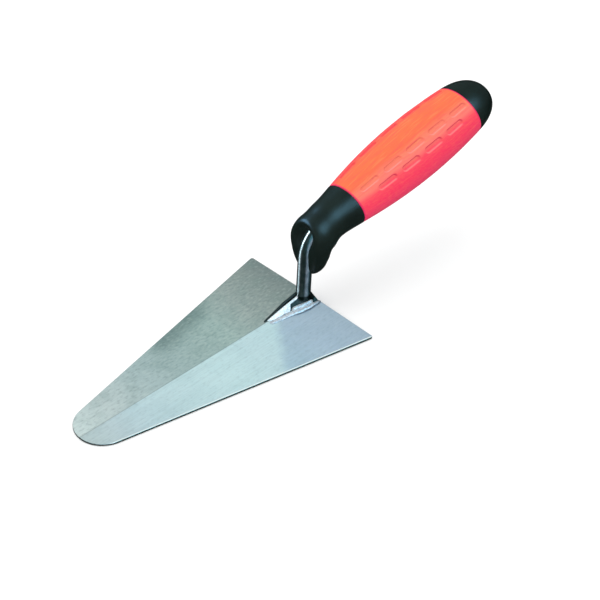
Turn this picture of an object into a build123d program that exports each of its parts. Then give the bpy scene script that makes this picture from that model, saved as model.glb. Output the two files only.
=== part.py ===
from build123d import *
import math
import os

# Brick trowel, in millimetres.
# The origin is the middle of the blade's heel edge, on its flat underside.
# +X runs from the heel to the tip, +Z is up and the handle leans back over -X.

# --- Blade: flat below, ground above into two shallow slopes along a centre ridge ---
BLADE_LENGTH = 160.0
HEEL_WIDTH = 94.0
TIP_RADIUS = 15.8
HEEL_RIDGE_THICKNESS = 1.8
TIP_RIDGE_THICKNESS = 1.2
HEEL_EDGE_THICKNESS = 1.1

# --- Neck: one forging, from the spear-shaped foot through the bend to the tang ---
ROD_DIAMETER = 8.0
ROD_FOOT_X = 6.0
ROD_FOOT_Z = 4.0
ROD_LEAN = 3.4
NECK_BEND_RADIUS = 15.0
FOOT_HEEL_X = 0.6
FOOT_NECK_X = 10.4
FOOT_TOE_X = 33.0
FOOT_HEEL_HALF_WIDTH = 6.8
FOOT_TOE_HALF_WIDTH = 0.8
FOOT_HEEL_HEIGHT = 5.0
FOOT_NECK_HEIGHT = 6.6
FOOT_TOE_HEIGHT = 2.4
FOOT_EDGE_HEIGHT = 1.75
FOOT_SHOULDER_WIDTH = 0.5
FOOT_SHOULDER_HEIGHT = 0.8

# --- Weld fillets along the two long edges of the foot, even on the left, fuller on the right ---
WELD_STATIONS_X = (1.0, 12.0, 33.6)
WELD_LEFT_WIDTHS = (1.4, 1.4, 0.8)
WELD_RIGHT_WIDTHS = (1.4, 3.6, 1.0)
WELD_TOP_HEIGHT = 3.4
WELD_INNER_SHARE = 0.6

# --- Handle axis: s is the distance back along it from the point AXIS_X, AXIS_Z ---
AXIS_X = -15.4
AXIS_Z = 47.0
HANDLE_TILT = 12.5

# --- Tang: barbed, locked into the moulded core ---
TANG_BARB_START = 24.0
TANG_BARB_COUNT = 7
TANG_BARB_PITCH = 6.5
TANG_BARB_HEIGHT = 0.7
TANG_END_RADIUS = 2.2

# --- Grip: one long belly arc, split into nose guard, soft sleeve and end cap ---
# Its radii are those of a round bar, which is then widened and flattened into an oval.
OVAL_WIDTH = 1.06
OVAL_HEIGHT = 0.885
BELLY_S = 64.4
BELLY_RADIUS = 17.75
BELLY_ARC_RADIUS = 315.0
SLEEVE_FRONT_S = 10.6
SLEEVE_REAR_S = 99.6
CAP_LENGTH = 20.4
SLEEVE_WALL = 2.8

# --- Handle core: rigid moulding under the sleeve, with a spigot into the nose guard ---
SPIGOT_FRONT_S = -5.0
SPIGOT_RADIUS = 7.6
CORE_RIB_COUNT = 3
CORE_RIB_SPACING = 22.0
CORE_RIB_WIDTH = 3.0
CORE_RIB_HEIGHT = 0.8
PLUG_RADIUS = 7.5
PLUG_LENGTH = 16.0

# --- Nose guard: barrel, elbow ball and hanging finger lobe ---
BARREL_WAIST_S = -4.0
BARREL_WAIST_RADIUS = 11.1
BARREL_MID_S = 2.9
BARREL_MID_RADIUS = 11.7
ELBOW_X = -2.2
ELBOW_Z = 40.7
ELBOW_RADIUS = 11.3
LOBE_X = -0.4
LOBE_BOTTOM_Z = 17.6
LOBE_WAIST_RADIUS = 10.2
LOBE_WAIST_Z = 33.0
LOBE_LOW_RADIUS = 7.6
LOBE_LOW_Z = 24.0
FACE_X = 4.9
SCOOP_X = 8.3
SCOOP_Z = 45.4
SCOOP_RADIUS = 8.6

# --- Moulded slots in the sleeve: a row of five and a row of four on each side ---
SLOT_LENGTH = 13.5
SLOT_WIDTH = 3.2
SLOT_DEPTH = 0.6
SLOT_PITCH = 17.1
UPPER_ROW_ANGLE = 32.0
UPPER_ROW_START = 22.3
UPPER_ROW_COUNT = 5
LOWER_ROW_ANGLE = 53.0
LOWER_ROW_START = 30.8
LOWER_ROW_COUNT = 4

# Extra reach of a cutting tool past the face that it cuts.
CLEAR = 40.0

tilt = math.radians(HANDLE_TILT)
handle_direction = Vector(-math.cos(tilt), 0, math.sin(tilt))
HANDLE = Plane(origin=(AXIS_X, 0, AXIS_Z), x_dir=handle_direction, z_dir=(0, 1, 0))


def belly_radius(s):
    """Radius of the grip at the distance s along the handle axis."""
    fall = BELLY_ARC_RADIUS - math.sqrt(BELLY_ARC_RADIUS**2 - (s - BELLY_S) ** 2)
    return BELLY_RADIUS - fall


def turned(*edges):
    """A solid turned about the handle axis from its half outline, in handle coordinates."""
    return revolve(make_face(edges), axis=Axis.X, revolution_arc=360)


def in_place(solid):
    """A solid in handle coordinates, made oval and set on the trowel."""
    return HANDLE.location * scale(solid, by=(1, OVAL_HEIGHT, OVAL_WIDTH))


def grip_outline(inset):
    """Half outline of the grip from its nose joint to its cap joint, inset from the skin."""
    front = (SLEEVE_FRONT_S, belly_radius(SLEEVE_FRONT_S) - inset)
    middle = (BELLY_S, BELLY_RADIUS - inset)
    rear = (SLEEVE_REAR_S, belly_radius(SLEEVE_REAR_S) - inset)
    skin = ThreePointArc(front, middle, rear)
    ends = Polyline(rear, (SLEEVE_REAR_S, 0), (SLEEVE_FRONT_S, 0), front)
    return skin, ends


def make_blade():
    """Tapered plate with a rounded tip, ground from its centre ridge to its edges."""
    tip_centre = BLADE_LENGTH - TIP_RADIUS
    half_heel = HEEL_WIDTH / 2
    reach = math.hypot(tip_centre, half_heel)
    edge_angle = math.atan2(half_heel, tip_centre) - math.asin(TIP_RADIUS / reach)
    tangent_x = tip_centre + TIP_RADIUS * math.sin(edge_angle)
    tangent_y = TIP_RADIUS * math.cos(edge_angle)
    nose = ThreePointArc((tangent_x, tangent_y), (BLADE_LENGTH, 0), (tangent_x, -tangent_y))
    sides = Polyline((tangent_x, -tangent_y), (0, -half_heel), (0, half_heel), (tangent_x, tangent_y))
    plate = extrude(make_face([nose, sides]), amount=HEEL_RIDGE_THICKNESS)

    fall = HEEL_RIDGE_THICKNESS - HEEL_EDGE_THICKNESS
    sections = []
    for x, ridge in ((0, HEEL_RIDGE_THICKNESS), (BLADE_LENGTH, TIP_RIDGE_THICKNESS)):
        edge = ridge - fall
        points = [(-half_heel, 0), (half_heel, 0), (half_heel, edge), (0, ridge), (-half_heel, edge)]
        sections.append(Plane.YZ.offset(x) * Polygon(*points, align=None))
    return plate & loft(sections, ruled=True)


def foot_section(x, half_width, height):
    """Roof-shaped cross-section of the foot, with a shoulder on each slope."""
    shoulder_y = half_width * FOOT_SHOULDER_WIDTH
    shoulder_z = height * FOOT_SHOULDER_HEIGHT
    points = [
        (-half_width, 0),
        (half_width, 0),
        (half_width, FOOT_EDGE_HEIGHT),
        (shoulder_y, shoulder_z),
        (0, height),
        (-shoulder_y, shoulder_z),
        (-half_width, FOOT_EDGE_HEIGHT),
    ]
    return Plane.YZ.offset(x) * Polygon(*points, align=None)


def foot_half_width(x):
    """Half width of the foot at x, straight from heel to toe."""
    share = (x - FOOT_HEEL_X) / (FOOT_TOE_X - FOOT_HEEL_X)
    return FOOT_HEEL_HALF_WIDTH + share * (FOOT_TOE_HALF_WIDTH - FOOT_HEEL_HALF_WIDTH)


def make_foot():
    """Spear-shaped foot: highest under the neck and falling to a thin toe."""
    stations = (
        (FOOT_HEEL_X, FOOT_HEEL_HEIGHT),
        (FOOT_NECK_X, FOOT_NECK_HEIGHT),
        (FOOT_TOE_X, FOOT_TOE_HEIGHT),
    )
    sections = [foot_section(x, foot_half_width(x), height) for x, height in stations]
    return loft(sections, ruled=True)


def make_rod():
    """Round neck: up from the foot, round the bend and back along the handle axis."""
    lean = math.radians(ROD_LEAN)
    rise = (AXIS_Z - ROD_FOOT_Z - (ROD_FOOT_X - AXIS_X) * math.tan(tilt)) / (
        1 - math.tan(lean) * math.tan(tilt)
    )
    foot = Vector(ROD_FOOT_X, 0, ROD_FOOT_Z)
    corner = foot + Vector(-rise * math.tan(lean), 0, rise)
    tang = HANDLE.from_local_coords(Vector(TANG_BARB_START, 0, 0))
    path = FilletPolyline(foot, corner, tang, radius=NECK_BEND_RADIUS)
    start = Plane(origin=foot, z_dir=corner - foot)
    return sweep(start * Circle(ROD_DIAMETER / 2), path=path)


def make_tang():
    """Tapered tang with saw-tooth barbs that face forward, against being pulled out."""
    points = [(TANG_BARB_START, 0), (TANG_BARB_START, ROD_DIAMETER / 2)]
    first = ROD_DIAMETER / 2 - TANG_BARB_HEIGHT
    for barb in range(TANG_BARB_COUNT):
        share = barb / TANG_BARB_COUNT
        root = first + share * (TANG_END_RADIUS - first)
        s = TANG_BARB_START + (barb + 0.5) * TANG_BARB_PITCH
        points.append((s, root))
        points.append((s, root + TANG_BARB_HEIGHT))
    end = TANG_BARB_START + (TANG_BARB_COUNT + 1) * TANG_BARB_PITCH
    points.append((end, TANG_END_RADIUS))
    points.append((end, 0))
    return HANDLE.location * turned(Polyline(*points, close=True))


def make_shank(blade):
    """Foot, neck and tang as one forging, seated on the blade."""
    return make_foot() + make_rod() + make_tang() - blade


def make_weld(side, widths, blade, shank):
    """Fillet of weld metal along one long edge of the foot."""
    sections = []
    for x, width in zip(WELD_STATIONS_X, widths):
        inner = side * foot_half_width(x) * WELD_INNER_SHARE
        outer = side * (foot_half_width(x) + width)
        points = [(inner, 0), (outer, 0), (outer, FOOT_EDGE_HEIGHT), (inner, WELD_TOP_HEIGHT)]
        sections.append(Plane.YZ.offset(x) * Polygon(*points, align=None))
    return loft(sections, ruled=True) - blade - shank


def make_core(shank):
    """Rigid moulding on the tang: front spigot, ribbed body and socket for the end cap."""
    body = turned(*grip_outline(SLEEVE_WALL))
    spigot_length = SLEEVE_FRONT_S - SPIGOT_FRONT_S
    spigot_middle = (SLEEVE_FRONT_S + SPIGOT_FRONT_S) / 2
    along = Rotation(0, 90, 0)
    body += Pos(spigot_middle, 0, 0) * along * Cylinder(SPIGOT_RADIUS, spigot_length)
    for rib in range(CORE_RIB_COUNT):
        s = BELLY_S + (rib - (CORE_RIB_COUNT - 1) / 2) * CORE_RIB_SPACING
        radius = belly_radius(s) - SLEEVE_WALL + CORE_RIB_HEIGHT
        body += Pos(s, 0, 0) * along * Cylinder(radius, CORE_RIB_WIDTH)
    socket = Pos(SLEEVE_REAR_S - PLUG_LENGTH / 2, 0, 0) * along * Cylinder(PLUG_RADIUS, PLUG_LENGTH)
    return in_place(body - socket) - shank


def slot_cutter(s, angle):
    """Round-ended cutter for one slot, lying along the skin of the sleeve."""
    slope = math.degrees(math.asin((s - BELLY_S) / BELLY_ARC_RADIUS))
    depth = belly_radius(s) - SLOT_DEPTH
    blank = extrude(SlotOverall(SLOT_LENGTH, SLOT_WIDTH), amount=SLEEVE_WALL)
    upright = Pos(s, 0, depth) * Rotation(0, slope, 0) * blank
    return Rotation(angle, 0, 0) * upright


def make_sleeve(core):
    """Soft grip moulded over the core, with the two staggered rows of slots on each side."""
    sleeve = turned(*grip_outline(0))
    rows = (
        (UPPER_ROW_ANGLE, UPPER_ROW_START, UPPER_ROW_COUNT),
        (LOWER_ROW_ANGLE, LOWER_ROW_START, LOWER_ROW_COUNT),
    )
    cutters = []
    for angle, start, count in rows:
        for slot in range(count):
            s = start + slot * SLOT_PITCH
            # In handle coordinates the top of the grip is +Y, a quarter turn from +Z.
            cutters.append(slot_cutter(s, -90 + angle))
            cutters.append(slot_cutter(s, -90 - angle))
    hollow = in_place(turned(*grip_outline(SLEEVE_WALL)))
    return in_place(sleeve - cutters) - hollow - core


def make_cap():
    """Domed butt with a plug that snaps into the core."""
    joint_radius = belly_radius(SLEEVE_REAR_S)
    dome = EllipticalCenterArc((SLEEVE_REAR_S, 0), CAP_LENGTH, joint_radius, arc_size=90)
    sides = Polyline((SLEEVE_REAR_S, joint_radius), (SLEEVE_REAR_S, 0), (SLEEVE_REAR_S + CAP_LENGTH, 0))
    plug = Pos(SLEEVE_REAR_S - PLUG_LENGTH / 2, 0, 0) * Rotation(0, 90, 0) * Cylinder(PLUG_RADIUS, PLUG_LENGTH)
    return in_place(turned(dome, sides) + plug)


def make_lobe():
    """Finger lobe that hangs behind the neck, turned about an upright axis."""
    top = (ELBOW_RADIUS, ELBOW_Z)
    waist = (LOBE_WAIST_RADIUS, LOBE_WAIST_Z)
    low = (LOBE_LOW_RADIUS, LOBE_LOW_Z)
    bottom = (0, LOBE_BOTTOM_Z)
    skin = Spline(top, waist, low, bottom, tangents=[(0, -1), (-1, 0)])
    ends = Polyline(bottom, (0, ELBOW_Z), top)
    half = Plane.XZ * make_face([skin, ends])
    return Pos(LOBE_X, 0, 0) * revolve(half, axis=Axis.Z, revolution_arc=360)


def make_barrel():
    """Front of the grip, from its oval joint with the sleeve to the round elbow."""
    front_s = HANDLE.to_local_coords(Vector(ELBOW_X, 0, ELBOW_Z)).X
    stations = (
        (SLEEVE_FRONT_S, belly_radius(SLEEVE_FRONT_S)),
        (BARREL_MID_S, BARREL_MID_RADIUS),
        (BARREL_WAIST_S, BARREL_WAIST_RADIUS),
        (front_s, ELBOW_RADIUS),
    )
    sections = []
    for s, radius in stations:
        ovalness = (s - front_s) / (SLEEVE_FRONT_S - front_s)
        half_width = radius * (1 + ovalness * (OVAL_WIDTH - 1))
        half_height = radius * (1 + ovalness * (OVAL_HEIGHT - 1))
        across = Plane(origin=(s, 0, 0), x_dir=(0, 0, 1), z_dir=(1, 0, 0))
        sections.append(across * Ellipse(half_width, half_height))
    return HANDLE.location * loft(sections)


def make_nose(core, shank):
    """Black finger guard: barrel, elbow and lobe, flat in front where the neck enters."""
    nose = make_barrel() + Pos(ELBOW_X, 0, ELBOW_Z) * Sphere(ELBOW_RADIUS) + make_lobe()
    front = Pos(FACE_X + CLEAR / 2, 0, ELBOW_Z) * Box(CLEAR, CLEAR, 2 * CLEAR)
    scoop = Pos(SCOOP_X, 0, SCOOP_Z) * Sphere(SCOOP_RADIUS)
    return nose - front - scoop - core - shank


blade = make_blade()
shank = make_shank(blade)
core = make_core(shank)
parts = {
    "blade": blade,
    "shank": shank,
    "weld_left": make_weld(-1, WELD_LEFT_WIDTHS, blade, shank),
    "weld_right": make_weld(1, WELD_RIGHT_WIDTHS, blade, shank),
    "handle_core": core,
    "nose_guard": make_nose(core, shank),
    "grip_sleeve": make_sleeve(core),
    "end_cap": make_cap(),
}

os.makedirs("parts", exist_ok=True)
for name, shape in parts.items():
    export_step(shape, f"parts/{name}.step")
    print(name, round(shape.volume, 1), "mm3,", len(shape.solids()), "solid")
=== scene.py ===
import math

import bpy
import numpy as np
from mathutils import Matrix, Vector


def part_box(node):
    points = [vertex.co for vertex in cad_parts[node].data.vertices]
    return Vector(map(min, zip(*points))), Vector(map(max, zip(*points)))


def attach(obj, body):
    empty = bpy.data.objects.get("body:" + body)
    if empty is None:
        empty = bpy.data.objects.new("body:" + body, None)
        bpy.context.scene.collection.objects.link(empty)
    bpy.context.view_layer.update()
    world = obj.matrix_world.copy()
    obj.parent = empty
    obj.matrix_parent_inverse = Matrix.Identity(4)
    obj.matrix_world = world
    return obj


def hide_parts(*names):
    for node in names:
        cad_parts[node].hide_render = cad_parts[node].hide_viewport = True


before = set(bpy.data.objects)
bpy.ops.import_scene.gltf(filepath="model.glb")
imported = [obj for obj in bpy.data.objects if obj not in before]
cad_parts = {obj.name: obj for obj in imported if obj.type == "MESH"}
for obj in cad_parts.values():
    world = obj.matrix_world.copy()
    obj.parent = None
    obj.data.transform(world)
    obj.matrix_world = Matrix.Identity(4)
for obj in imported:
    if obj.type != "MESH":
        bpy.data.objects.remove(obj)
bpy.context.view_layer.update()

# Brick trowel. Shapes are worked out in millimetres and scaled to metres when a mesh is made.
# +X runs from the heel of the blade to its tip, +Z is up and the handle leans back over -X.
MM = 0.001


def box_mm(node):
    """Lowest and highest corner of a CAD node, in millimetres."""
    low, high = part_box(node)
    return np.array(low) / MM, np.array(high) / MM


# --- Blade: sizes from its CAD box ---
BLADE_LENGTH, HALF_HEEL, RIDGE_HEEL = box_mm("blade")[1]
RIDGE_TIP = 1.2
EDGE_FALL = 0.7
TIP_RADIUS = 15.8
HEEL_CORNER_RADIUS = 1.2
BLADE_BEVEL = 0.22
CORNER_POINTS = 9
TIP_POINTS = 65
HEEL_REFLECTION_SLANT = 0.735
SHADED_EDGE_SLANT = 0.25
TIP_CENTRE = BLADE_LENGTH - TIP_RADIUS
EDGE_ANGLE = math.atan2(HALF_HEEL, TIP_CENTRE) - math.asin(TIP_RADIUS / math.hypot(TIP_CENTRE, HALF_HEEL))

# --- Handle axis: s is the distance back along it from AXIS_POINT ---
TILT = math.radians(12.5)
AXIS_POINT = np.array([-15.4, 0.0, 47.0])
ALONG = np.array([-math.cos(TILT), 0.0, math.sin(TILT)])
UP = np.array([math.sin(TILT), 0.0, math.cos(TILT)])
ACROSS = np.array([0.0, 1.0, 0.0])


def reach_mm(node):
    """Lowest and highest s of a CAD node along the handle axis."""
    points = np.array([v.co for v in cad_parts[node].data.vertices]) / MM
    s = (points - AXIS_POINT) @ ALONG
    return s.min(), s.max()


# --- Grip: one belly arc with an oval section ---
SLEEVE_FRONT, SLEEVE_REAR = reach_mm("grip_sleeve")
CAP_FRONT, CAP_END = reach_mm("end_cap")
BELLY_S = 64.4
BELLY_RADIUS = 17.75
BELLY_ARC = 315.0
OVAL_WIDTH = 1.06
OVAL_HEIGHT = 0.885
SLEEVE_WALL = 2.8
SLEEVE_LINING_RINGS = 24
JOINT_LIP = 0.3
LIP_EASE = 0.3 * JOINT_LIP
CAP_POWER = 2.7
CAP_INSET = 0.3
CAP_RINGS = 60
CAP_FIRST_TURN = 0.03
PLUG_RADIUS = 7.5
PLUG_CHAMFER = 0.5

# --- Slots in the sleeve, in rows on both sides: (angle from the top, first s, count, strength of the painted shade on the upper wall) ---
SLOT_ROWS = ((32.0, 22.3, 5, 0.38), (53.0, 30.8, 4, 1.0))
SLOT_LENGTH = 12.2
SLOT_WIDTH = 3.2
SLOT_PITCH = 17.1
SLOT_DEPTH = 1.0
SLOT_SOFTNESS = 0.8
SLOT_SKIN = 0.5
SLOT_EDGE_WIDTH = 0.75
SLOT_LIT_FROM = (0.9, -0.5)
FAR_SIDE_SLOT_SHADE = 0.5

# --- Neck: round rod up from the foot, round a bend and back along the handle axis ---
ROD_RADIUS = 4.0
ROD_FOOT = np.array([6.0, 4.0])
ROD_LEAN = math.radians(3.4)
BEND_RADIUS = 15.0
TANG_START = 24.0
TANG_ROOT = 3.3
TANG_END_RADIUS = 2.2
BARB_PITCH = 6.5
BARB_HEIGHT = 0.7
BARB_COUNT = 7
BARB_RISE = 0.2
ROD_BLEND = 2.4
NECK_ROOM = np.array([0, 2, 0])

# --- Foot: a spear with a ridge; half widths on the two sides at x stations ---
FOOT_BASE_Z = 1.7
FOOT_HEEL_X = 0.6
FOOT_CREST = (10.8, 6.6)
FOOT_HEEL_SLOPE = 0.15
FOOT_FALL = 0.11
FOOT_FALL_GROWTH = 0.0045
FOOT_TOE_X = 33.0
FOOT_WALL_GAP = 0.15
FOOT_RIDGE_ROUNDING = 0.18
FOOT_EDGE_ROUNDING = 0.3
HIGHLIGHT_SLANT = 0.6
HIGHLIGHT_FROM = 19.1
FOOT_LEFT = ((0.6, 13.0, 22.0, 33.0), (7.4, 5.2, 3.2, 0.8))
FOOT_RIGHT = (
    (0.6, 3.8, 8.0, 12.0, 18.0, 24.0, 30.0, 33.0),
    (8.0, 6.8, 4.4, 3.5, 2.7, 2.3, 1.8, 0.8),
)

# --- Nose guard: spine of (x, z, radius) from the sleeve joint round the elbow to the lobe's end ---
NOSE_SPINE = (
    (-33.0, 51.0, 14.4),
    (-26.3, 49.4, 13.2),
    (-18.2, 47.6, 11.95),
    (-12.3, 46.1, 11.35),
    (-7.9, 44.3, 11.0),
    (-5.3, 43.0, 11.0),
    (-3.1, 41.5, 11.3),
    (-1.3, 39.8, 11.3),
    (-0.5, 37.5, 11.0),
    (-0.2, 35.0, 10.5),
    (-0.2, 32.4, 9.95),
    (-0.2, 29.7, 9.1),
    (-0.6, 26.8, 8.0),
    (-0.6, 24.0, 6.4),
)
NOSE_ELBOW = 6
NOSE_SPHERES_PER_SPAN = 14
THROAT_BLEND = 2.2
THROAT_FROM_X = -4.0
THROAT_REACH = 6.0
CREASE_BLEND = 0.05
FACE_X = 5.8
FACE_ROUNDING = 2.2
SCOOP_CENTRE = np.array([7.2, -1.3, 43.0])
SCOOP_RADIUS = 6.8
SCOOP_ROUNDING = 4.5
NOSE_ROOM = 1.5
LOBE_WIDTH = 1.1
LOBE_SHIFT = -0.45
LOBE_SHIFT_SPANS = (2, 6)

# --- Welds: passes of overlapping drops laid along the foot: (start, end, half width, height, bow) ---
WELD_CREST_FALL = 0.035
DROP_SPACING = 1.1
DROP_HALF_LENGTH = 1.6
DROP_BLEND = 0.8
DROP_JITTER = 0.05
DROP_SWELL = 0.03
LEFT_PASSES = (
    ((1.0, -7.1, 1.6), (15.0, -5.0, 1.6), 0.7, 0.7, 0.0),
    ((15.0, -5.0, 1.5), (33.0, -0.9, 1.3), 0.6, 0.5, 0.0),
)
RIGHT_PASSES = (
    ((1.5, 7.2, 1.6), (6.0, 6.7, 1.6), 1.0, 0.8, 0.0),
    ((4.8, 4.5, 2.5), (10.0, 3.9, 2.4), 0.95, 1.1, 0.2),
    ((9.6, 4.3, 2.3), (15.4, 2.9, 2.3), 1.1, 1.0, -0.3),
    ((5.6, 6.6, 1.6), (11.0, 6.5, 1.5), 1.2, 1.2, 0.5),
    ((10.6, 6.2, 1.6), (17.0, 5.0, 1.4), 1.3, 1.2, 0.6),
    ((16.5, 4.4, 1.4), (31.0, 2.0, 1.2), 1.3, 0.7, 0.2),
)

# --- Fineness of the meshes: steps in millimetres, and sides round the lathed pieces ---
NECK_STEP = 0.41
WELD_STEP = 0.26
NOSE_STEP = 0.55
SLEEVE_STEP = 0.4
SLEEVE_SIDES = 400
CAP_SIDES = 200
GRADIENT_NUDGE = 0.02
SETTLING_ROUNDS = 4
LEAST_STEEPNESS = 0.05
FAR = 1e3

# The two colours of a Mix node are its sockets 6 and 7.
FIRST_COLOUR, SECOND_COLOUR = 6, 7


# ---------------------------------------------------------------- meshes

def smooth_min(a, b, reach):
    """The smaller of two fields, blended where they are closer than reach."""
    share = np.clip(0.5 + 0.5 * (b - a) / reach, 0, 1)
    return b + (a - b) * share - reach * share * (1 - share)


def smooth_max(a, b, reach):
    """The larger of two fields, blended where they are closer than reach."""
    return -smooth_min(-a, -b, reach)


def gradient_of(field, points):
    """Slope of a field at points."""
    rises = [field(points + nudge) - field(points - nudge) for nudge in GRADIENT_NUDGE * np.eye(3)]
    return np.stack(rises, -1) / (2 * GRADIENT_NUDGE)


def settled(points, field, limit):
    """Points moved onto the surface where the field is zero, at most limit per step."""
    for _ in range(SETTLING_ROUNDS):
        gradient = gradient_of(field, points)
        steep = np.maximum((gradient**2).sum(-1), LEAST_STEEPNESS)
        move = -(field(points) / steep)[:, None] * gradient
        length = np.linalg.norm(move, axis=-1, keepdims=True)
        points = points + move * np.minimum(1, limit / np.maximum(length, 1e-9))
    return points


def netted(field, low, high, step):
    """Quads over the surface where the field is zero: surface nets on a grid that reaches two steps
    past the box from low to high, then settled."""
    axes = [np.arange(a - 2 * step, b + 3 * step, step) for a, b in zip(low, high)]
    grid = np.stack(np.meshgrid(*axes, indexing="ij"), -1)
    value = np.concatenate([field(slab[None])[0:1] for slab in grid])
    inside = value < 0
    cells = tuple(n - 1 for n in value.shape)
    total = np.zeros(cells + (3,))
    count = np.zeros(cells)
    corners = [(i, j, k) for i in (0, 1) for j in (0, 1) for k in (0, 1)]

    def at(array, corner):
        return array[tuple(slice(c, c + n) for c, n in zip(corner, cells))]

    for a in corners:
        for axis in range(3):
            if a[axis]:
                continue
            b = tuple(c + (i == axis) for i, c in enumerate(a))
            va, vb = at(value, a), at(value, b)
            crossed = at(inside, a) != at(inside, b)
            share = np.where(crossed, va / np.where(crossed, va - vb, 1), 0)
            point = at(grid, a) + share[..., None] * (at(grid, b) - at(grid, a))
            total += point * crossed[..., None]
            count += crossed
    used = count > 0
    index = np.full(cells, -1)
    index[used] = np.arange(used.sum())
    points = total[used] / count[used][:, None]

    faces = []
    for axis in range(3):
        u, v = [(1, 2), (2, 0), (0, 1)][axis]
        body = [slice(1, -1)] * 3
        body[axis] = slice(0, -1)
        ahead = list(body)
        ahead[axis] = slice(1, None)
        start, end = inside[tuple(body)], inside[tuple(ahead)]
        where = np.argwhere(start != end) + np.array([0 if i == axis else 1 for i in range(3)])
        leaving = start[start != end]
        step_u, step_v = np.eye(3, dtype=int)[u], np.eye(3, dtype=int)[v]
        ring = [where - step_u - step_v, where - step_v, where, where - step_u]
        quad = np.stack([index[tuple(cell.T)] for cell in ring], -1)
        faces.append(np.where(leaving[:, None], quad, quad[:, ::-1]))
    return settled(points, field, step), np.concatenate(faces)


def placed(name, data):
    """A new object in the scene for a mesh, a light or a camera."""
    thing = bpy.data.objects.new(name, data)
    bpy.context.scene.collection.objects.link(thing)
    return thing


def make_piece(name, points, faces, node, material, sharp=None):
    """A piece from points in millimetres, standing for one CAD node. Edges that turn by more than
    sharp degrees stay sharp."""
    mesh = bpy.data.meshes.new(name)
    mesh.from_pydata((np.asarray(points) * MM).tolist(), [], [list(map(int, f)) for f in faces])
    mesh.validate()
    mesh.polygons.foreach_set("use_smooth", [True] * len(mesh.polygons))
    if sharp:
        mesh.set_sharp_from_angle(angle=math.radians(sharp))
    mesh.materials.append(material)
    piece = placed(name, mesh)
    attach(piece, "root")
    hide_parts(node)
    return piece


def handle_points(s, across, up):
    """Points given along, across and up from the handle axis."""
    s, across, up = np.broadcast_arrays(s, across, up)
    return AXIS_POINT + s[..., None] * ALONG + across[..., None] * ACROSS + up[..., None] * UP


def belly_radius(s):
    """Radius of the grip before it is made oval."""
    return BELLY_RADIUS - (BELLY_ARC - np.sqrt(BELLY_ARC**2 - (s - BELLY_S) ** 2))


def lathed(outline, sides, dent=None):
    """Oval lathe of an outline of (s, radius); a radius of zero at an end closes it at a pole,
    and an outline with no pole is joined end to end."""
    s, radius = np.array(outline).T
    angle = np.linspace(0, 2 * math.pi, sides, endpoint=False)
    ring_s, ring_a = np.meshgrid(s, angle, indexing="ij")
    ring_r = np.repeat(radius[:, None], sides, 1)
    if dent:
        ring_r = ring_r - dent(ring_s, ring_a, ring_r)
    across = OVAL_WIDTH * ring_r * np.sin(ring_a)
    up = OVAL_HEIGHT * ring_r * np.cos(ring_a)
    points = handle_points(ring_s, across, up).reshape(-1, 3)
    rows = len(s)
    poles = radius[0] == 0 or radius[-1] == 0
    faces = []
    for row in range(rows - 1 if poles else rows):
        here, there = row * sides, (row + 1) % rows * sides
        for i in range(sides):
            j = (i + 1) % sides
            quad = [here + i, here + j, there + j, there + i]
            if radius[row] == 0:
                quad = [here, there + j, there + i]
            elif radius[(row + 1) % rows] == 0:
                quad = [here + i, here + j, there]
            faces.append(quad)
    return points, faces


# ---------------------------------------------------------------- materials

def linear(red, green, blue):
    """A screen colour, 0 to 255, as the scene-linear colour that shows it."""
    parts = []
    for value in (red, green, blue):
        value /= 255
        parts.append(value / 12.92 if value <= 0.04045 else ((value + 0.055) / 1.055) ** 2.4)
    return (*parts, 1.0)


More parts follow.
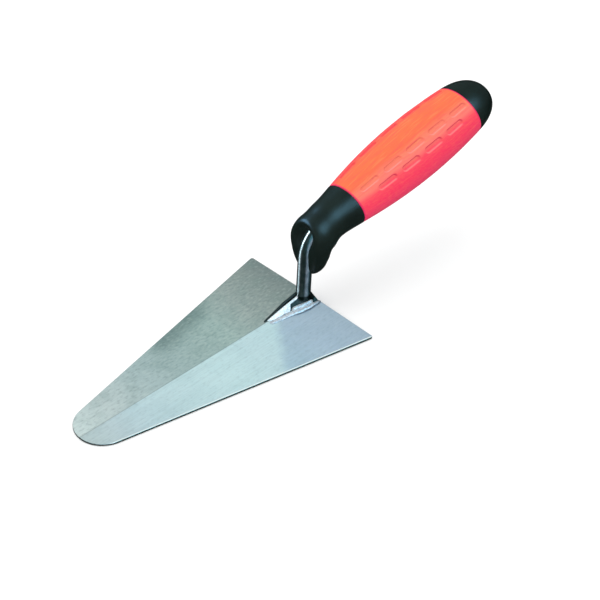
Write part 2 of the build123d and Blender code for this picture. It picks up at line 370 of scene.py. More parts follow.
class Finish:
    """A material and the few node shapes that the finishes below are built from."""

    def __init__(self, name):
        self.material = bpy.data.materials.new(name)
        self.material.use_nodes = True
        self.tree = self.material.node_tree
        self.shader = self.tree.nodes["Principled BSDF"]
        coordinates = self.tree.nodes.new("ShaderNodeTexCoord")
        self.place = self.scaled(coordinates.outputs["Object"], (1 / MM,) * 3)
        split = self.tree.nodes.new("ShaderNodeSeparateXYZ")
        self.link(self.place, split.inputs[0])
        self.x, self.y, self.z = split.outputs

    def link(self, source, target):
        self.tree.links.new(source, target)

    def put(self, value, target):
        """Give a socket a value, which is a number, a colour or another node's output."""
        if isinstance(value, bpy.types.NodeSocket):
            self.link(value, target)
        else:
            target.default_value = value

    def scaled(self, vector, factors):
        node = self.tree.nodes.new("ShaderNodeVectorMath")
        node.operation = "MULTIPLY"
        self.link(vector, node.inputs[0])
        node.inputs[1].default_value = factors
        return node.outputs[0]

    def dot(self, direction, origin):
        """Distance along a direction from an origin, in millimetres."""
        away = self.tree.nodes.new("ShaderNodeVectorMath")
        away.operation = "SUBTRACT"
        self.link(self.place, away.inputs[0])
        away.inputs[1].default_value = origin
        node = self.tree.nodes.new("ShaderNodeVectorMath")
        node.operation = "DOT_PRODUCT"
        self.link(away.outputs[0], node.inputs[0])
        node.inputs[1].default_value = direction
        return node.outputs["Value"]

    def math(self, operation, first, second=0.0):
        node = self.tree.nodes.new("ShaderNodeMath")
        node.operation = operation
        for value, target in zip((first, second), node.inputs):
            self.put(value, target)
        return node.outputs[0]

    def range(self, value, low, high, to_low=0.0, to_high=1.0):
        """Smooth change from to_low to to_high as a value goes from low to high."""
        node = self.tree.nodes.new("ShaderNodeMapRange")
        node.interpolation_type = "SMOOTHSTEP"
        for target, given in zip(node.inputs, (value, low, high, to_low, to_high)):
            self.put(given, target)
        return node.outputs[0]

    def ramp(self, value, low, high, stops):
        """Colours at values between low and high, blended from one to the next."""
        node = self.tree.nodes.new("ShaderNodeValToRGB")
        elements = node.color_ramp.elements
        spots = [(position - low) / (high - low) for position, _ in stops]
        elements[0].position = spots[0]
        elements[1].position = spots[-1]
        for spot in spots[1:-1]:
            elements.new(spot)
        for element, (_, colour) in zip(elements, stops):
            element.color = linear(*colour)
        share = self.math("MULTIPLY", self.math("SUBTRACT", value, low), 1 / (high - low))
        self.link(share, node.inputs[0])
        return node.outputs[0]

    def noise(self, scale, detail, stretch=(1, 1, 1), vector=None):
        """Noise of about scale features per millimetre. It doesn't change along an axis whose
        stretch is zero."""
        node = self.tree.nodes.new("ShaderNodeTexNoise")
        self.link(self.scaled(vector or self.place, stretch), node.inputs["Vector"])
        node.inputs["Scale"].default_value = scale
        node.inputs["Detail"].default_value = detail
        return node.outputs[0]

    def waver(self, reach, scale, stretch=(1, 1, 1)):
        """A slow wander to both sides of zero, for edges that aren't ruled straight."""
        return self.math("MULTIPLY", self.math("SUBTRACT", self.noise(scale, 3.0, stretch), 0.5), reach)

    def attribute(self, name, output):
        """A value that the mesh carries at its points."""
        node = self.tree.nodes.new("ShaderNodeAttribute")
        node.attribute_name = name
        return node.outputs[output]

    def lengthwise(self, along, angle):
        """Place stretched along the handle, for streaks that run from end to end."""
        node = self.tree.nodes.new("ShaderNodeCombineXYZ")
        self.link(self.math("MULTIPLY", along, 0.07), node.inputs[0])
        self.link(self.math("MULTIPLY", angle, 0.3), node.inputs[1])
        return node.outputs[0]

    def mix(self, share, first, second):
        """The first colour, giving way to the second as share goes from 0 to 1."""
        node = self.tree.nodes.new("ShaderNodeMix")
        node.data_type = "RGBA"
        self.put(share, node.inputs[0])
        self.put(first, node.inputs[FIRST_COLOUR])
        self.put(second, node.inputs[SECOND_COLOUR])
        return node.outputs[2]

    def bump(self, height, distance, strength):
        """Relief of a height in millimetres."""
        node = self.tree.nodes.new("ShaderNodeBump")
        node.inputs["Distance"].default_value = distance * MM
        node.inputs["Strength"].default_value = strength
        self.link(height, node.inputs["Height"])
        self.link(node.outputs[0], self.shader.inputs["Normal"])

    def set(self, **values):
        """Values for the shader's sockets, named with underscores for spaces."""
        for name, value in values.items():
            self.put(value, self.shader.inputs[name.replace("_", " ")])


def blade_steel():
    """Ground blade: two halves in tones of painted reflection that grade from heel to tip, with fine
    grinding streaks.
    """
    f = Finish("blade_steel")
    flat = (1.0, 1.0, 0.0)
    # The halves take the light differently, and their tones along the blade are painted reflection.
    left = f.ramp(f.x, 0, BLADE_LENGTH, [
        (0, (122, 134, 132)),
        (15, (140, 152, 148)),
        (32, (156, 168, 164)),
        (55, (162, 184, 179)),
        (85, (161, 182, 180)),
        (108, (176, 194, 194)),
        (135, (198, 210, 209)),
        (152, (214, 226, 224)),
    ])
    right = f.ramp(f.x, 0, BLADE_LENGTH, [
        (0, (192, 220, 224)),
        (50, (196, 220, 224)),
        (72, (199, 224, 226)),
        (105, (198, 221, 224)),
        (128, (195, 216, 221)),
        (142, (196, 212, 216)),
        (155, (194, 209, 210)),
    ])
    # The right half has a painted bluer reflection at its heel corner, with a slanting edge that wavers.
    heel = f.ramp(f.x, 0, 50, [(0, (164, 182, 197)), (24, (170, 190, 206)), (50, (170, 196, 210))])
    across_heel = f.math("SUBTRACT", f.x, f.math("MULTIPLY", f.y, HEEL_REFLECTION_SLANT))
    right = f.mix(f.range(f.math("ADD", across_heel, f.waver(7.0, 0.12, flat)), 21, 31), heel, right)
    colour = f.mix(f.range(f.y, -0.15, 0.15), left, right)
    streak = f.noise(1.0, 4.0, (0.02, 0.9, 0.0))
    colour = f.mix(f.range(streak, 0.35, 0.65, 0.0, 0.12), colour, linear(120, 140, 142))
    mottle = f.noise(0.09, 5.0, flat)
    worn = f.math("MULTIPLY", f.range(mottle, 0.45, 0.7), f.range(f.y, 4.0, -4.0, 0.04, 0.22))
    colour = f.mix(worn, colour, linear(122, 146, 140))
    # The left half has painted shade beside the middle of its outer edge.
    outer = f.math("ABSOLUTE", f.math("ADD", f.y, f.math("MULTIPLY", f.x, -SHADED_EDGE_SLANT)))
    edge_shade = f.math("MULTIPLY", f.range(outer, 34, 48, 0.0, 0.7), f.range(f.y, 0, -8))
    edge_shade = f.math("MULTIPLY", edge_shade, f.range(f.x, 98, 80))
    edge_shade = f.math("MULTIPLY", edge_shade, f.range(f.x, 38, 55))
    colour = f.mix(edge_shade, colour, linear(104, 128, 126))
    speck = f.noise(0.75, 5.0, (0.5, 1.0, 0.0))
    dark = f.math("MULTIPLY", f.range(speck, 0.5, 0.3), f.range(f.y, 3.0, -3.0, 0.12, 0.28))
    colour = f.mix(dark, colour, linear(92, 108, 112))
    light = f.math("MULTIPLY", f.range(speck, 0.5, 0.75), f.range(f.y, 3.0, -3.0, 0.12, 0.20))
    colour = f.mix(light, colour, linear(214, 224, 214))
    # A painted shade line along the centre ridge.
    crease_shade = f.range(f.math("ABSOLUTE", f.y), 0.0, 0.5, 0.4, 0.0)
    colour = f.mix(crease_shade, colour, linear(90, 105, 105))
    # The right edge has a painted highlight along its upper bevel, then painted shade on the wall below
    # it.
    outward = (math.sin(EDGE_ANGLE), math.cos(EDGE_ANGLE), 0)
    from_centre = f.dot(outward, (TIP_CENTRE, 0, 0))
    rim_highlight = f.math("MULTIPLY", f.range(from_centre, TIP_RADIUS - 1.0, TIP_RADIUS - 0.7), 0.85)
    colour = f.mix(rim_highlight, colour, linear(240, 246, 244))
    wall = f.range(from_centre, TIP_RADIUS - 0.25, TIP_RADIUS - 0.1)
    colour = f.mix(wall, colour, linear(120, 150, 144))
    f.set(Base_Color=colour, Metallic=1.0, Roughness=f.range(mottle, 0.3, 0.7, 0.34, 0.40))
    f.bump(f.noise(1.0, 3.0, (0.05, 3.0, 1.0)), 0.02, 0.35)
    return f.material


def forged_steel():
    """Forging: polished neck, painted dark reflection low on the foot, and a painted highlight on its
    right face and ridge.
    """
    f = Finish("forged_steel")
    mottle = f.noise(0.35, 4.0)
    colour = f.mix(f.range(mottle, 0.35, 0.7), linear(98, 116, 116), linear(118, 134, 134))
    # Painted dark reflection low on the foot and the base of the rod.
    scale = f.mix(f.range(mottle, 0.4, 0.65), linear(28, 40, 38), linear(46, 60, 58))
    low = f.range(f.z, 7.6, 6.2)
    colour = f.mix(low, colour, scale)
    # Painted highlight on the foot's right face and along its ridge: a pale colour with less metal, so it
    # stays light.
    past_step = f.math("ADD", f.x, f.math("MULTIPLY", f.z, HIGHLIGHT_SLANT))
    beyond = f.range(past_step, HIGHLIGHT_FROM - 0.4, HIGHLIGHT_FROM + 0.4)
    face = f.math("MULTIPLY", beyond, f.range(f.y, 0.0, 0.3))
    ridge = f.math("MULTIPLY", f.range(f.math("ABSOLUTE", f.y), 0.9, 0.5), f.range(f.x, 9.5, 11.0))
    foot_highlight = f.math("MULTIPLY", f.math("MAXIMUM", face, ridge), low)
    bright = f.mix(f.range(f.noise(0.9, 3.0), 0.35, 0.65), linear(206, 222, 226), linear(240, 246, 248))
    colour = f.mix(foot_highlight, colour, bright)
    f.set(Base_Color=colour, Metallic=f.range(foot_highlight, 0.0, 1.0, 1.0, 0.3), Anisotropic=1.0,
          Roughness=f.range(mottle, 0.3, 0.7, 0.36, 0.40))
    f.set(Tangent=f.attribute("grain", "Vector"))
    f.bump(f.noise(0.8, 2.0), 0.01, 0.1)
    return f.material


def weld_steel():
    """Weld metal: pale on its crests as painted highlight, with painted shade below them and over the
    left of the foot.
    """
    f = Finish("weld_steel")
    mottle = f.noise(0.7, 3.0)
    colour = f.mix(f.range(mottle, 0.3, 0.7), linear(184, 194, 204), linear(224, 232, 238))
    # Painted shade in the hollows and at the toes below the crests.
    crest = f.math("ADD", f.z, f.math("MULTIPLY", f.x, WELD_CREST_FALL))
    colour = f.mix(f.range(crest, 2.75, 2.25, 0.0, 0.8), colour, linear(84, 100, 114))
    # Painted shade over the weld on the left of the foot.
    colour = f.mix(f.range(f.y, 0.5, -0.5), colour, linear(50, 62, 62))
    f.set(Base_Color=colour, Metallic=0.4, Roughness=f.range(mottle, 0.3, 0.7, 0.38, 0.5))
    f.bump(f.noise(1.4, 2.0), 0.06, 0.3)
    return f.material


def black_plastic():
    """Black moulding with a fine skin, and painted shade that is darkest at the butt."""
    f = Finish("black_plastic")
    skin = f.noise(3.5, 3.0)
    colour = f.mix(f.range(f.noise(0.08, 2.0), 0.3, 0.7), linear(16, 28, 24), linear(21, 34, 30))
    # Painted shade towards the butt end.
    butt = f.range(f.x, -112, -124, 0.0, 0.8)
    colour = f.mix(butt, colour, linear(5, 15, 10))
    f.set(Base_Color=colour, Roughness=f.range(skin, 0.3, 0.7, 0.30, 0.36), Specular_IOR_Level=0.4)
    f.bump(f.noise(1.3, 3.0), 0.12, 0.5)
    return f.material


def grip_rubber():
    """Soft sleeve: red, with painted warm light and sheen making its top orange, and painted shade
    turning it a pinker red down its sides.
    """
    f = Finish("grip_rubber")
    centre = tuple(AXIS_POINT)
    across = f.math("DIVIDE", f.dot(tuple(ACROSS), centre), OVAL_WIDTH)
    up = f.math("DIVIDE", f.dot(tuple(UP), centre), OVAL_HEIGHT)
    along = f.dot(tuple(ALONG), centre)
    angle = f.math("MULTIPLY", f.math("ARCTAN2", across, up), 180 / math.pi)
    angle = f.math("ADD", angle, f.waver(9.0, 0.06))
    # The colour round the sleeve is painted light: warm and sheened on the top, painted shade on the
    # sides and underneath.
    colour = f.ramp(angle, -180, 180, [
        (-180, (224, 32, 80)),
        (-80, (236, 36, 84)),
        (-45, (244, 70, 84)),
        (-30, (246, 88, 70)),
        (-17, (246, 106, 66)),
        (0, (247, 108, 64)),
        (18, (247, 104, 68)),
        (30, (248, 122, 98)),
        (45, (248, 116, 106)),
        (56, (250, 66, 90)),
        (76, (248, 40, 88)),
        (95, (236, 32, 92)),
        (112, (222, 32, 92)),
        (180, (224, 32, 80)),
    ])
    lines = f.noise(1.0, 4.0, (1, 1, 1), f.lengthwise(along, angle))
    top = f.range(f.math("ABSOLUTE", angle), 50, 30, 0.12, 0.4)
    colour = f.mix(f.math("MULTIPLY", f.range(lines, 0.5, 0.66), top), colour, linear(228, 74, 84))
    colour = f.mix(f.math("MULTIPLY", f.range(lines, 0.48, 0.34), top), colour, linear(255, 140, 88))
    grain = f.noise(1.6, 3.0, (0.25, 1.0, 1.0))
    colour = f.mix(f.range(grain, 0.35, 0.7, 0.0, 0.16), colour, linear(250, 122, 84))
    from_front = f.math("SUBTRACT", along, SLEEVE_FRONT)
    from_joint = f.math("MINIMUM", from_front, f.math("SUBTRACT", SLEEVE_REAR, along))
    colour = f.mix(f.range(from_joint, 1.2, 0.6, 0.0, 0.85), colour, linear(232, 24, 96))
    # Painted highlight on the slots' lower walls, painted shade on their upper walls and on the far
    # side's slots.
    slot_light = f.attribute("slot_light", "Fac")
    colour = f.mix(f.range(slot_light, 0.0, 1.0, 0.0, 0.55), colour, linear(255, 150, 146))
    colour = f.mix(f.range(slot_light, 0.0, -1.0, 0.0, 0.9), colour, linear(216, 10, 70))
    f.set(Base_Color=colour, Roughness=f.range(grain, 0.3, 0.7, 0.48, 0.6), Specular_IOR_Level=0.3)
    f.bump(f.noise(5.0, 3.0), 0.04, 0.3)
    return f.material


def core_plastic():
    """Plain rigid moulding inside the handle."""
    f = Finish("core_plastic")
    colour = f.mix(f.range(f.noise(0.3, 3.0), 0.3, 0.7), linear(150, 150, 152), linear(162, 162, 164))
    f.set(Base_Color=colour, Roughness=0.5)
    f.bump(f.noise(4.0, 2.0), 0.03, 0.3)
    return f.material


# ---------------------------------------------------------------- pieces

def blade_top(p):
    """Height of the blade's upper face at or under a point."""
    ridge = RIDGE_HEEL + (RIDGE_TIP - RIDGE_HEEL) * p[..., 0] / BLADE_LENGTH
    return ridge - EDGE_FALL * np.abs(p[..., 1]) / HALF_HEEL


def blade_outline():
    """Outline of the blade from the heel's left corner round the tip to its right corner, and the
    outward normals. The last point is the middle of the heel, where the ridge ends."""
    outward = math.pi / 2 - EDGE_ANGLE
    inset = HEEL_CORNER_RADIUS / math.tan(outward / 2)
    corner = np.array([HEEL_CORNER_RADIUS, -HALF_HEEL + inset])
    corner_turn = np.linspace(-math.pi, -outward, CORNER_POINTS)
    arcs = (
        (corner, HEEL_CORNER_RADIUS, corner_turn),
        (np.array([TIP_CENTRE, 0]), TIP_RADIUS, np.linspace(-outward, outward, TIP_POINTS)),
        (corner * [1, -1], HEEL_CORNER_RADIUS, -corner_turn[::-1]),
    )
    points = []
    normals = []
    for centre, radius, turns in arcs:
        for turn in turns:
            normal = np.array([math.cos(turn), math.sin(turn)])
            normals.append(normal)
            points.append(centre + radius * normal)
    points.append(np.array([0.0, 0.0]))
    normals.append(np.array([-1.0, 0.0]))
    return np.array(points), np.array(normals)


def make_blade(material):
    """Flat below, ground above into two planes that meet on the centre ridge."""
    outline, normals = blade_outline()
    count = len(outline)
    tip = (count - 1) // 2
    b = BLADE_BEVEL
    bevel = ((b, 0), (0.3 * b, 0.3 * b), (0, b))
    rings = []
    for inset, up in bevel:
        rings.append(np.column_stack([outline - normals * inset, np.full(count, up)]))
    for inset, down in reversed(bevel):
        xy = outline - normals * inset
        rings.append(np.column_stack([xy, blade_top(xy) - down]))
    faces = []
    for ring in range(len(rings) - 1):
        here, there = ring * count, (ring + 1) * count
        for i in range(count):
            j = (i + 1) % count
            faces.append([here + i, here + j, there + j, there + i])
    top = (len(rings) - 1) * count
    faces.append(list(range(count - 1, -1, -1)))
    faces.append([top + count - 1] + [top + i for i in range(tip + 1)])
    faces.append([top + i for i in range(tip, count)])
    points = np.concatenate(rings)
    return make_piece("blade_plate", points, faces, "blade", material, sharp=18)


def rod_path():
    """The rod's path in the XZ plane: foot, start and end of the bend, and the bend's centre."""
    climb = np.array([-math.sin(ROD_LEAN), math.cos(ROD_LEAN)])
    back = ALONG[[0, 2]]
    axis = AXIS_POINT[[0, 2]]
    step = np.linalg.solve(np.column_stack([climb, -back]), axis - ROD_FOOT)
    corner = ROD_FOOT + step[0] * climb
    turn = math.acos(np.dot(climb, back))
    cut = BEND_RADIUS * math.tan(turn / 2)
    start, end = corner - cut * climb, corner + cut * back
    centre = start + BEND_RADIUS * np.array([-climb[1], climb[0]])
    return climb, back, start, end, centre


def rod_field(p):
    """Distance from the rod and its barbed tang."""
    climb, back, start, end, centre = rod_path()
    xz = p[..., [0, 2]]
    y = p[..., 1]
    down = (xz - start) @ climb
    foot = np.maximum(down, -np.linalg.norm(start - ROD_FOOT))
    straight = np.linalg.norm(xz - start - np.minimum(foot, 0)[..., None] * climb, axis=-1)
    s = (xz - AXIS_POINT[[0, 2]]) @ back
    s_end = (end - AXIS_POINT[[0, 2]]) @ back
    s_last = TANG_START + (BARB_COUNT + 1) * BARB_PITCH
    on = np.clip(s, s_end, s_last)
    tang = np.linalg.norm(xz - AXIS_POINT[[0, 2]] - on[..., None] * back, axis=-1)
    share = np.clip((s - TANG_START) / (BARB_COUNT * BARB_PITCH), 0, 1)
    along_barb = ((s - TANG_START) / BARB_PITCH) % 1
    tooth = BARB_HEIGHT * np.maximum(1 - along_barb, (along_barb - 1 + BARB_RISE) / BARB_RISE)
    barbed = TANG_ROOT + share * (TANG_END_RADIUS - TANG_ROOT) + tooth
    radius = np.where(s > TANG_START, np.where(share < 1, barbed, TANG_END_RADIUS), ROD_RADIUS)
    away = xz - centre
    arc = np.abs(np.linalg.norm(away, axis=-1) - BEND_RADIUS)
    in_arc = (down > 0) & ((xz - end) @ back < 0)
    arc = np.where(in_arc, arc, FAR)
    field = np.hypot(straight, y) - ROD_RADIUS
    field = np.minimum(field, np.hypot(arc, y) - ROD_RADIUS)
    return np.minimum(field, np.maximum(np.hypot(tang, y) - radius, s - s_last))


def foot_field(p):
    """Field of the spear-shaped foot, faceted along its ridge."""
    x, y, z = p[..., 0], p[..., 1], p[..., 2]
    past = np.maximum(x - FOOT_CREST[0], 0)
    ridge = FOOT_CREST[1] - FOOT_FALL * past - FOOT_FALL_GROWTH * past**2
    ridge = ridge - FOOT_HEEL_SLOPE * np.maximum(FOOT_CREST[0] - x, 0)
    left = np.interp(x, *FOOT_LEFT)
    right = np.interp(x, *FOOT_RIGHT)
    left_slope = (ridge - FOOT_BASE_Z) / left
    right_slope = (ridge - FOOT_BASE_Z) / right
    left_side = (z - ridge - left_slope * y) / np.sqrt(1 + left_slope**2)
    right_side = (z - ridge + right_slope * y) / np.sqrt(1 + right_slope**2)
    roof = smooth_max(left_side, right_side, FOOT_RIDGE_ROUNDING)
    walls = np.maximum(-y - left - FOOT_WALL_GAP, y - right - FOOT_WALL_GAP)
    ends = np.maximum(FOOT_HEEL_X - x, x - FOOT_TOE_X)
    sides = smooth_max(walls, ends, FOOT_EDGE_ROUNDING)
    body = smooth_max(roof, sides, FOOT_EDGE_ROUNDING)
    return np.maximum(body, blade_top(p) - z)


def shank_field(p):
    """Field of foot, neck and tang together, cut off at the blade."""
    rod = np.maximum(rod_field(p), blade_top(p) - p[..., 2])
    return smooth_min(foot_field(p), rod, ROD_BLEND)


def grain_direction(points):
    """Direction of the forging's polish: along the rod, round its bend and down the foot."""
    climb, back, start, end, centre = rod_path()
    xz = points[:, [0, 2]]
    away = xz - centre
    away = away / np.linalg.norm(away, axis=1, keepdims=True)
    grain = np.column_stack([-away[:, 1], away[:, 0]])
    grain[(xz - start) @ climb < 0] = climb
    grain[(xz - end) @ back > 0] = back
    return np.column_stack([grain[:, 0], np.zeros(len(points)), grain[:, 1]])


def make_shank(material):
    """Foot, neck and tang as one skin, which carries the direction of its polish."""
    low, high = box_mm("shank")
    points, faces = netted(shank_field, low, high + NECK_ROOM, NECK_STEP)
    piece = make_piece("neck_forging", points, faces, "shank", material)
    normals = gradient_of(shank_field, points)
    normals /= np.linalg.norm(normals, axis=1, keepdims=True)
    piece.data.normals_split_custom_set_from_vertices(normals.tolist())
    grain = piece.data.attributes.new("grain", "FLOAT_VECTOR", "POINT")
    grain.data.foreach_set("vector", grain_direction(points).ravel())
    return piece


def bead_field(p, passes, seed):
    """Field of weld beads: rows of overlapping drops, a little uneven."""
    random = np.random.default_rng(seed)
    field = np.full(p.shape[:-1], FAR)
    for start, end, width, height, bow in passes:
        start, end = np.array(start), np.array(end)
        count = max(2, int(np.linalg.norm(end - start) / DROP_SPACING))
        for share in np.arange(count + 1) / count:
            sideways = np.array([0, bow * math.sin(math.pi * share), 0])
            centre = start + share * (end - start) + sideways + random.normal(0, DROP_JITTER, 3)
            swell = 1 + random.normal(0, DROP_SWELL)
            half = np.array([DROP_HALF_LENGTH, width, height]) * swell
            drop = (np.linalg.norm((p - centre) / half, axis=-1) - 1) * half.min()
            field = smooth_min(field, drop, DROP_BLEND)
    return np.maximum(field, blade_top(p) - p[..., 2])


def make_weld(name, node, passes, seed, material):
    """Weld beads on one side of the foot."""
    def field(p):
        return bead_field(p, passes, seed)

    # Every pass gets room round it for its own drops.
    lows = []
    highs = []
    for start, end, width, height, _ in passes:
        lows.append(np.minimum(start, end) - [2, width + 1, 0.5])
        highs.append(np.maximum(start, end) + [2, width + 1.5, height + 0.5])
    points, faces = netted(field, np.min(lows, 0), np.max(highs, 0), WELD_STEP)
    return make_piece(name, points, faces, node, material)


def nose_spheres():
    """Spheres along the nose's spine: centre x, centre z, radius, and place counted in spans."""
    spine = np.array(NOSE_SPINE)
    ends = np.concatenate([[2 * spine[0] - spine[1]], spine, [2 * spine[-1] - spine[-2]]])
    spheres = []
    for i in range(1, len(ends) - 2):
        a, b, c, d = ends[i - 1 : i + 3]
        for t in np.linspace(0, 1, NOSE_SPHERES_PER_SPAN, endpoint=False):
            point = 0.5 * (2 * b + (c - a) * t + (2 * a - 5 * b + 4 * c - d) * t**2
                           + (3 * b - a - 3 * c + d) * t**3)
            spheres.append((*point, i - 1 + t))
    spheres.append((*spine[-1], len(spine) - 1))
    return np.array(spheres)


def make_nose(material):
    """Barrel, elbow and hanging lobe in one skin, flat in front with a scoop round the neck."""
    x, z, radius, place = nose_spheres().T
    oval = np.clip(1 - (place - 1) / (NOSE_ELBOW - 1), 0, 1)
    widening = np.where(place > NOSE_ELBOW, LOBE_WIDTH, 1 + oval * (OVAL_WIDTH - 1))
    widening = np.maximum(widening, 1 + (LOBE_WIDTH - 1) * np.clip(place / NOSE_ELBOW, 0, 1))
    width = radius * widening
    height = radius * (1 + oval * (OVAL_HEIGHT - 1))
    shift_from, shift_to = LOBE_SHIFT_SPANS
    y = LOBE_SHIFT * np.clip((place - shift_from) / (shift_to - shift_from), 0, 1)

    def swept(p, chosen):
        field = np.full(p.shape[:-1], FAR)
        for i in np.flatnonzero(chosen):
            sideways = (p[..., 1] - y[i]) * height[i] / width[i]
            away = np.sqrt((p[..., 0] - x[i]) ** 2 + (p[..., 2] - z[i]) ** 2 + sideways**2)
            field = np.minimum(field, away - height[i])
        return field

    def field(p):
        barrel = swept(p, place <= NOSE_ELBOW)
        lobe = swept(p, place >= NOSE_ELBOW)
        behind = np.clip((THROAT_FROM_X - p[..., 0]) / THROAT_REACH, 0, 1)
        whole = smooth_min(barrel, lobe, CREASE_BLEND + THROAT_BLEND * behind**2 * (3 - 2 * behind))
        whole = smooth_max(whole, p[..., 0] - FACE_X, FACE_ROUNDING)
        scoop = SCOOP_RADIUS - np.linalg.norm(p - SCOOP_CENTRE, axis=-1)
        whole = smooth_max(whole, scoop, SCOOP_ROUNDING)
        joint = (p - AXIS_POINT) @ ALONG - SLEEVE_FRONT
        return smooth_max(whole, joint, JOINT_LIP)

    low, high = box_mm("nose_guard")
    points, faces = netted(field, low - NOSE_ROOM, high + NOSE_ROOM, NOSE_STEP)
    return make_piece("finger_guard", points, faces, "nose_guard", material, sharp=35)


def slot_dent(s, angle, radius):
    """Depth of the moulded slots at places on the sleeve, which is zero on its lining."""
    dent = np.zeros(s.shape)
    outside = radius > belly_radius(s) - SLOT_SKIN
    turn = (angle + math.pi) % (2 * math.pi) - math.pi
    for row_angle, start, count, _ in SLOT_ROWS:
        for side in (-1, 1):
            v = (turn - side * math.radians(row_angle)) * BELLY_RADIUS
            for slot in range(count):
                u = np.abs(s - start - slot * SLOT_PITCH) - (SLOT_LENGTH - SLOT_WIDTH) / 2
                edge = SLOT_WIDTH / 2 - np.hypot(np.maximum(u, 0), v)
                share = np.clip(edge / SLOT_SOFTNESS + 0.5, 0, 1)
                dent = np.maximum(dent, SLOT_DEPTH * share**2 * (3 - 2 * share))
    return dent * outside


def painted_slot_light(points):
    """Painted light and shade for the slots' walls at points: above zero for a painted highlight on the
    lower wall, below zero for painted shade on the upper wall, and even painted shade all round on the -Y
    side."""
    away = points - AXIS_POINT
    s = away @ ALONG
    turn = np.arctan2(away @ ACROSS / OVAL_WIDTH, away @ UP / OVAL_HEIGHT)
    edge = np.zeros(len(points))
    for row_angle, start, count, shade_strength in SLOT_ROWS:
        for side in (-1, 1):
            v = (side * turn - math.radians(row_angle)) * BELLY_RADIUS
            for slot in range(count):
                u = s - start - slot * SLOT_PITCH
                past = np.sign(u) * np.maximum(np.abs(u) - (SLOT_LENGTH - SLOT_WIDTH) / 2, 0)
                near = np.hypot(past, v)
                wall = np.clip(1 - np.abs(near - SLOT_WIDTH / 2) / SLOT_EDGE_WIDTH, 0, 1)
                lean = (SLOT_LIT_FROM[0] * v + SLOT_LIT_FROM[1] * past) / (SLOT_WIDTH / 2)
                lean = np.clip(lean, -1, 1)
                highlight_and_shade = np.where(lean < 0, shade_strength, 1) * lean
                edge += wall * (highlight_and_shade if side > 0 else -FAR_SIDE_SLOT_SHADE)
    return edge


def make_sleeve(material):
    """Soft sleeve with its slots pressed in and a small lip at each joint."""
    front = belly_radius(SLEEVE_FRONT)
    rear = belly_radius(SLEEVE_REAR)
    outline = [(SLEEVE_FRONT, front - JOINT_LIP), (SLEEVE_FRONT + LIP_EASE, front - LIP_EASE)]
    for s in np.arange(SLEEVE_FRONT + JOINT_LIP, SLEEVE_REAR - JOINT_LIP, SLEEVE_STEP):
        outline.append((s, belly_radius(s)))
    outline += [(SLEEVE_REAR - LIP_EASE, rear - LIP_EASE), (SLEEVE_REAR, rear - JOINT_LIP)]
    for s in np.linspace(SLEEVE_REAR, SLEEVE_FRONT, SLEEVE_LINING_RINGS):
        outline.append((s, belly_radius(s) - SLEEVE_WALL))
    points, faces = lathed(outline, SLEEVE_SIDES, slot_dent)
    piece = make_piece("soft_sleeve", points, faces, "grip_sleeve", material, sharp=50)
    edge = piece.data.attributes.new("slot_light", "FLOAT", "POINT")
    edge.data.foreach_set("value", painted_slot_light(points))
    return piece


def make_cap(material):
    """Domed butt whose skin carries on from the sleeve's, with its plug in the core."""
    length = CAP_END - SLEEVE_REAR - CAP_INSET
    joint = belly_radius(SLEEVE_REAR)
    outline = [
        (CAP_FRONT, 0),
        (CAP_FRONT, PLUG_RADIUS - PLUG_CHAMFER),
        (CAP_FRONT + PLUG_CHAMFER, PLUG_RADIUS),
        (SLEEVE_REAR, PLUG_RADIUS),
        (SLEEVE_REAR, joint - JOINT_LIP),
        (SLEEVE_REAR + LIP_EASE, joint - LIP_EASE),
    ]
    for turn in np.linspace(CAP_FIRST_TURN, math.pi / 2, CAP_RINGS)[:-1]:
        share = math.sin(turn)
        s = SLEEVE_REAR + length * share
        outline.append((s, belly_radius(s) * (1 - share**CAP_POWER) ** (1 / CAP_POWER)))
    outline.append((SLEEVE_REAR + length, 0))
    points, faces = lathed(outline, CAP_SIDES)
    return make_piece("butt_cap", points, faces, "end_cap", material, sharp=40)


steel = blade_steel()
forging = forged_steel()
weld = weld_steel()
plastic = black_plastic()
plate = make_blade(steel)
neck = make_shank(forging)
make_weld("weld_bead_left", "weld_left", LEFT_PASSES, seed=3, material=weld)
make_weld("weld_bead_right", "weld_right", RIGHT_PASSES, seed=8, material=weld)
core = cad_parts["handle_core"]
core.data.materials.clear()
core.data.materials.append(core_plastic())
nose = make_nose(plastic)
sleeve = make_sleeve(grip_rubber())
# The sleeve would tint the floor pink, and the pieces would darken each other's reflections.
sleeve.visible_diffuse = False
for piece in (plate, neck, nose, sleeve, make_cap(plastic), core):
    piece.visible_glossy = False


# ---------------------------------------------------------------- studio

FLOOR_HALF = 40.0
FLOOR_DROP = 0.0002
AIMED_AT = Vector((0.01, 0, 0.03))
CAMERA_PLACE = Vector((0.5637, 0.5758, 0.6593))
CAMERA_AIM = Vector((0.0270, 0.0194, 0.0250))
CAMERA_LENS = 115.6
CAMERA_SENSOR = 36.0
CAMERA_CLIP = (0.01, 100)
ROOM_BELOW = (0.03, 0.04, 0.04, 1)
ROOM_ABOVE = (0.13, 0.18, 0.18)
ROOM_HORIZON = (-0.1, 0.3)
WINDOW_HEADING = (113, 53)
WINDOW_EDGES = (0.52, 0.10)
WINDOW_LIGHT = (1.7, 3.8, 5.2)
WHITE = (1, 1, 1, 1)
KEY_LIGHT = ("top_key", -90, 62, 0.9, 1.1, 1.1, 4.0)
BLADE_TINT = (1.0, 0.98, 0.98)

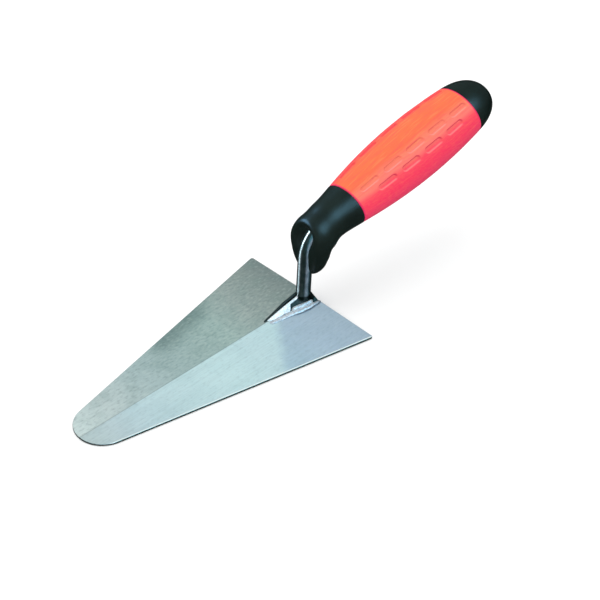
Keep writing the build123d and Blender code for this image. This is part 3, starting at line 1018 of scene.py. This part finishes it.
# Soft panels, each seen as a reflection by one piece only: (name, azimuth, elevation, distance, width,
# height, power, piece, tint).
PANELS = (
    ("blade_panel", 226, 39, 0.9, 0.8, 0.8, 1.78, plate, BLADE_TINT),
    ("side_panel", 316, 34, 0.9, 1.0, 1.0, 2.6, plate, BLADE_TINT),
    ("side_panel", 46, 34, 0.9, 1.0, 1.0, 2.6, plate, BLADE_TINT),
    ("side_panel", 136, 34, 0.9, 1.0, 1.0, 2.6, plate, BLADE_TINT),
    ("roof_panel", 226, 89, 0.9, 0.7, 0.7, 1.2, plate, BLADE_TINT),
    ("neck_strip", -46, 30, 0.6, 0.14, 0.4, 8.0, neck, (0.94, 0.9, 1.0)),
    ("neck_fill", 88, 16, 0.6, 0.5, 0.3, 2.2, neck, (1.0, 0.8, 1.0)),
    ("elbow_glow", -63, 32, 0.6, 0.45, 0.3, 3.6, nose, (0.32, 0.66, 1.0)),
)


def heading(azimuth, elevation):
    """Unit vector at an azimuth, counted from +X towards +Y, and an elevation, in degrees."""
    a, e = math.radians(azimuth), math.radians(elevation)
    return Vector((math.cos(a) * math.cos(e), math.sin(a) * math.cos(e), math.sin(e)))


def turned(thing, way):
    """Turn a light or a camera so that its back faces a way."""
    thing.rotation_mode = "QUATERNION"
    thing.rotation_quaternion = way.to_track_quat("Z", "Y")


def make_floor():
    """Pale paper just under the tool."""
    h = FLOOR_HALF
    mesh = bpy.data.meshes.new("floor")
    mesh.from_pydata([(-h, -h, 0), (h, -h, 0), (h, h, 0), (-h, h, 0)], [], [(0, 1, 2, 3)])
    floor = placed("floor", mesh)
    material = bpy.data.materials.new("floor_paper")
    material.use_nodes = True
    shader = material.node_tree.nodes["Principled BSDF"]
    shader.inputs["Base Color"].default_value = (0.98, 0.98, 0.98, 1)
    shader.inputs["Roughness"].default_value = 0.9
    shader.inputs["Specular IOR Level"].default_value = 0.1
    mesh.materials.append(material)
    floor.location.z = -FLOOR_DROP
    floor.visible_glossy = False


def make_world():
    """White surroundings, which reflections see as a dark room with one bluish window."""
    world = bpy.data.worlds.new("studio")
    bpy.context.scene.world = world
    world.use_nodes = True
    world.cycles.sampling_method = "NONE"
    tree = world.node_tree
    background = tree.nodes["Background"]
    direction = tree.nodes.new("ShaderNodeTexCoord").outputs["Generated"]
    path = tree.nodes.new("ShaderNodeLightPath")

    def put(value, socket):
        if isinstance(value, bpy.types.NodeSocket):
            tree.links.new(value, socket)
        else:
            socket.default_value = value

    def towards(azimuth, elevation):
        """Cosine of the angle from a heading."""
        node = tree.nodes.new("ShaderNodeVectorMath")
        node.operation = "DOT_PRODUCT"
        put(direction, node.inputs[0])
        put(heading(azimuth, elevation), node.inputs[1])
        return node.outputs["Value"]

    def mixed(share, first, second, blend):
        node = tree.nodes.new("ShaderNodeMix")
        node.data_type = "RGBA"
        node.blend_type = blend
        put(share, node.inputs[0])
        put(first, node.inputs[FIRST_COLOUR])
        put(second, node.inputs[SECOND_COLOUR])
        return node.outputs[2]

    def glow(value, low, high, colour, under):
        """Colour added where a value rises from low to high."""
        share = tree.nodes.new("ShaderNodeMapRange")
        share.interpolation_type = "SMOOTHSTEP"
        for given, socket in zip((value, low, high), share.inputs):
            put(given, socket)
        return mixed(share.outputs[0], under, (*colour, 1), "ADD")

    room = glow(towards(0, 90), *ROOM_HORIZON, ROOM_ABOVE, ROOM_BELOW)
    outer, inner = [math.cos(edge) for edge in WINDOW_EDGES]
    room = glow(towards(*WINDOW_HEADING), outer, inner, WINDOW_LIGHT, room)
    seen = mixed(path.outputs["Is Glossy Ray"], WHITE, room, "MIX")
    put(seen, background.inputs["Color"])


def make_light(name, azimuth, elevation, distance, width, height, power):
    """Soft light aimed at the tool."""
    data = bpy.data.lights.new(name, "AREA")
    data.shape = "RECTANGLE"
    data.size, data.size_y = width, height
    data.energy = power
    light = placed(name, data)
    way = heading(azimuth, elevation)
    light.location = AIMED_AT + distance * way
    turned(light, way)
    return light


def light_only(light, piece, colour):
    """Make a light a tinted reflection that only one piece shows."""
    light.data.color = colour
    light.visible_diffuse = False
    lit = bpy.data.collections.new(light.name + "_lights")
    lit.objects.link(piece)
    light.light_linking.receiver_collection = lit


def make_camera():
    """Camera at the photo's viewing angle."""
    data = bpy.data.cameras.new("camera")
    data.lens = CAMERA_LENS
    data.sensor_width = CAMERA_SENSOR
    data.clip_start, data.clip_end = CAMERA_CLIP
    camera = placed("camera", data)
    camera.location = CAMERA_PLACE
    turned(camera, CAMERA_PLACE - CAMERA_AIM)
    bpy.context.scene.camera = camera


make_floor()
make_world()
make_light(*KEY_LIGHT).visible_glossy = False
for *light, piece, tint in PANELS:
    light_only(make_light(*light), piece, tint)
make_camera()
bpy.context.scene.view_settings.view_transform = "Standard"
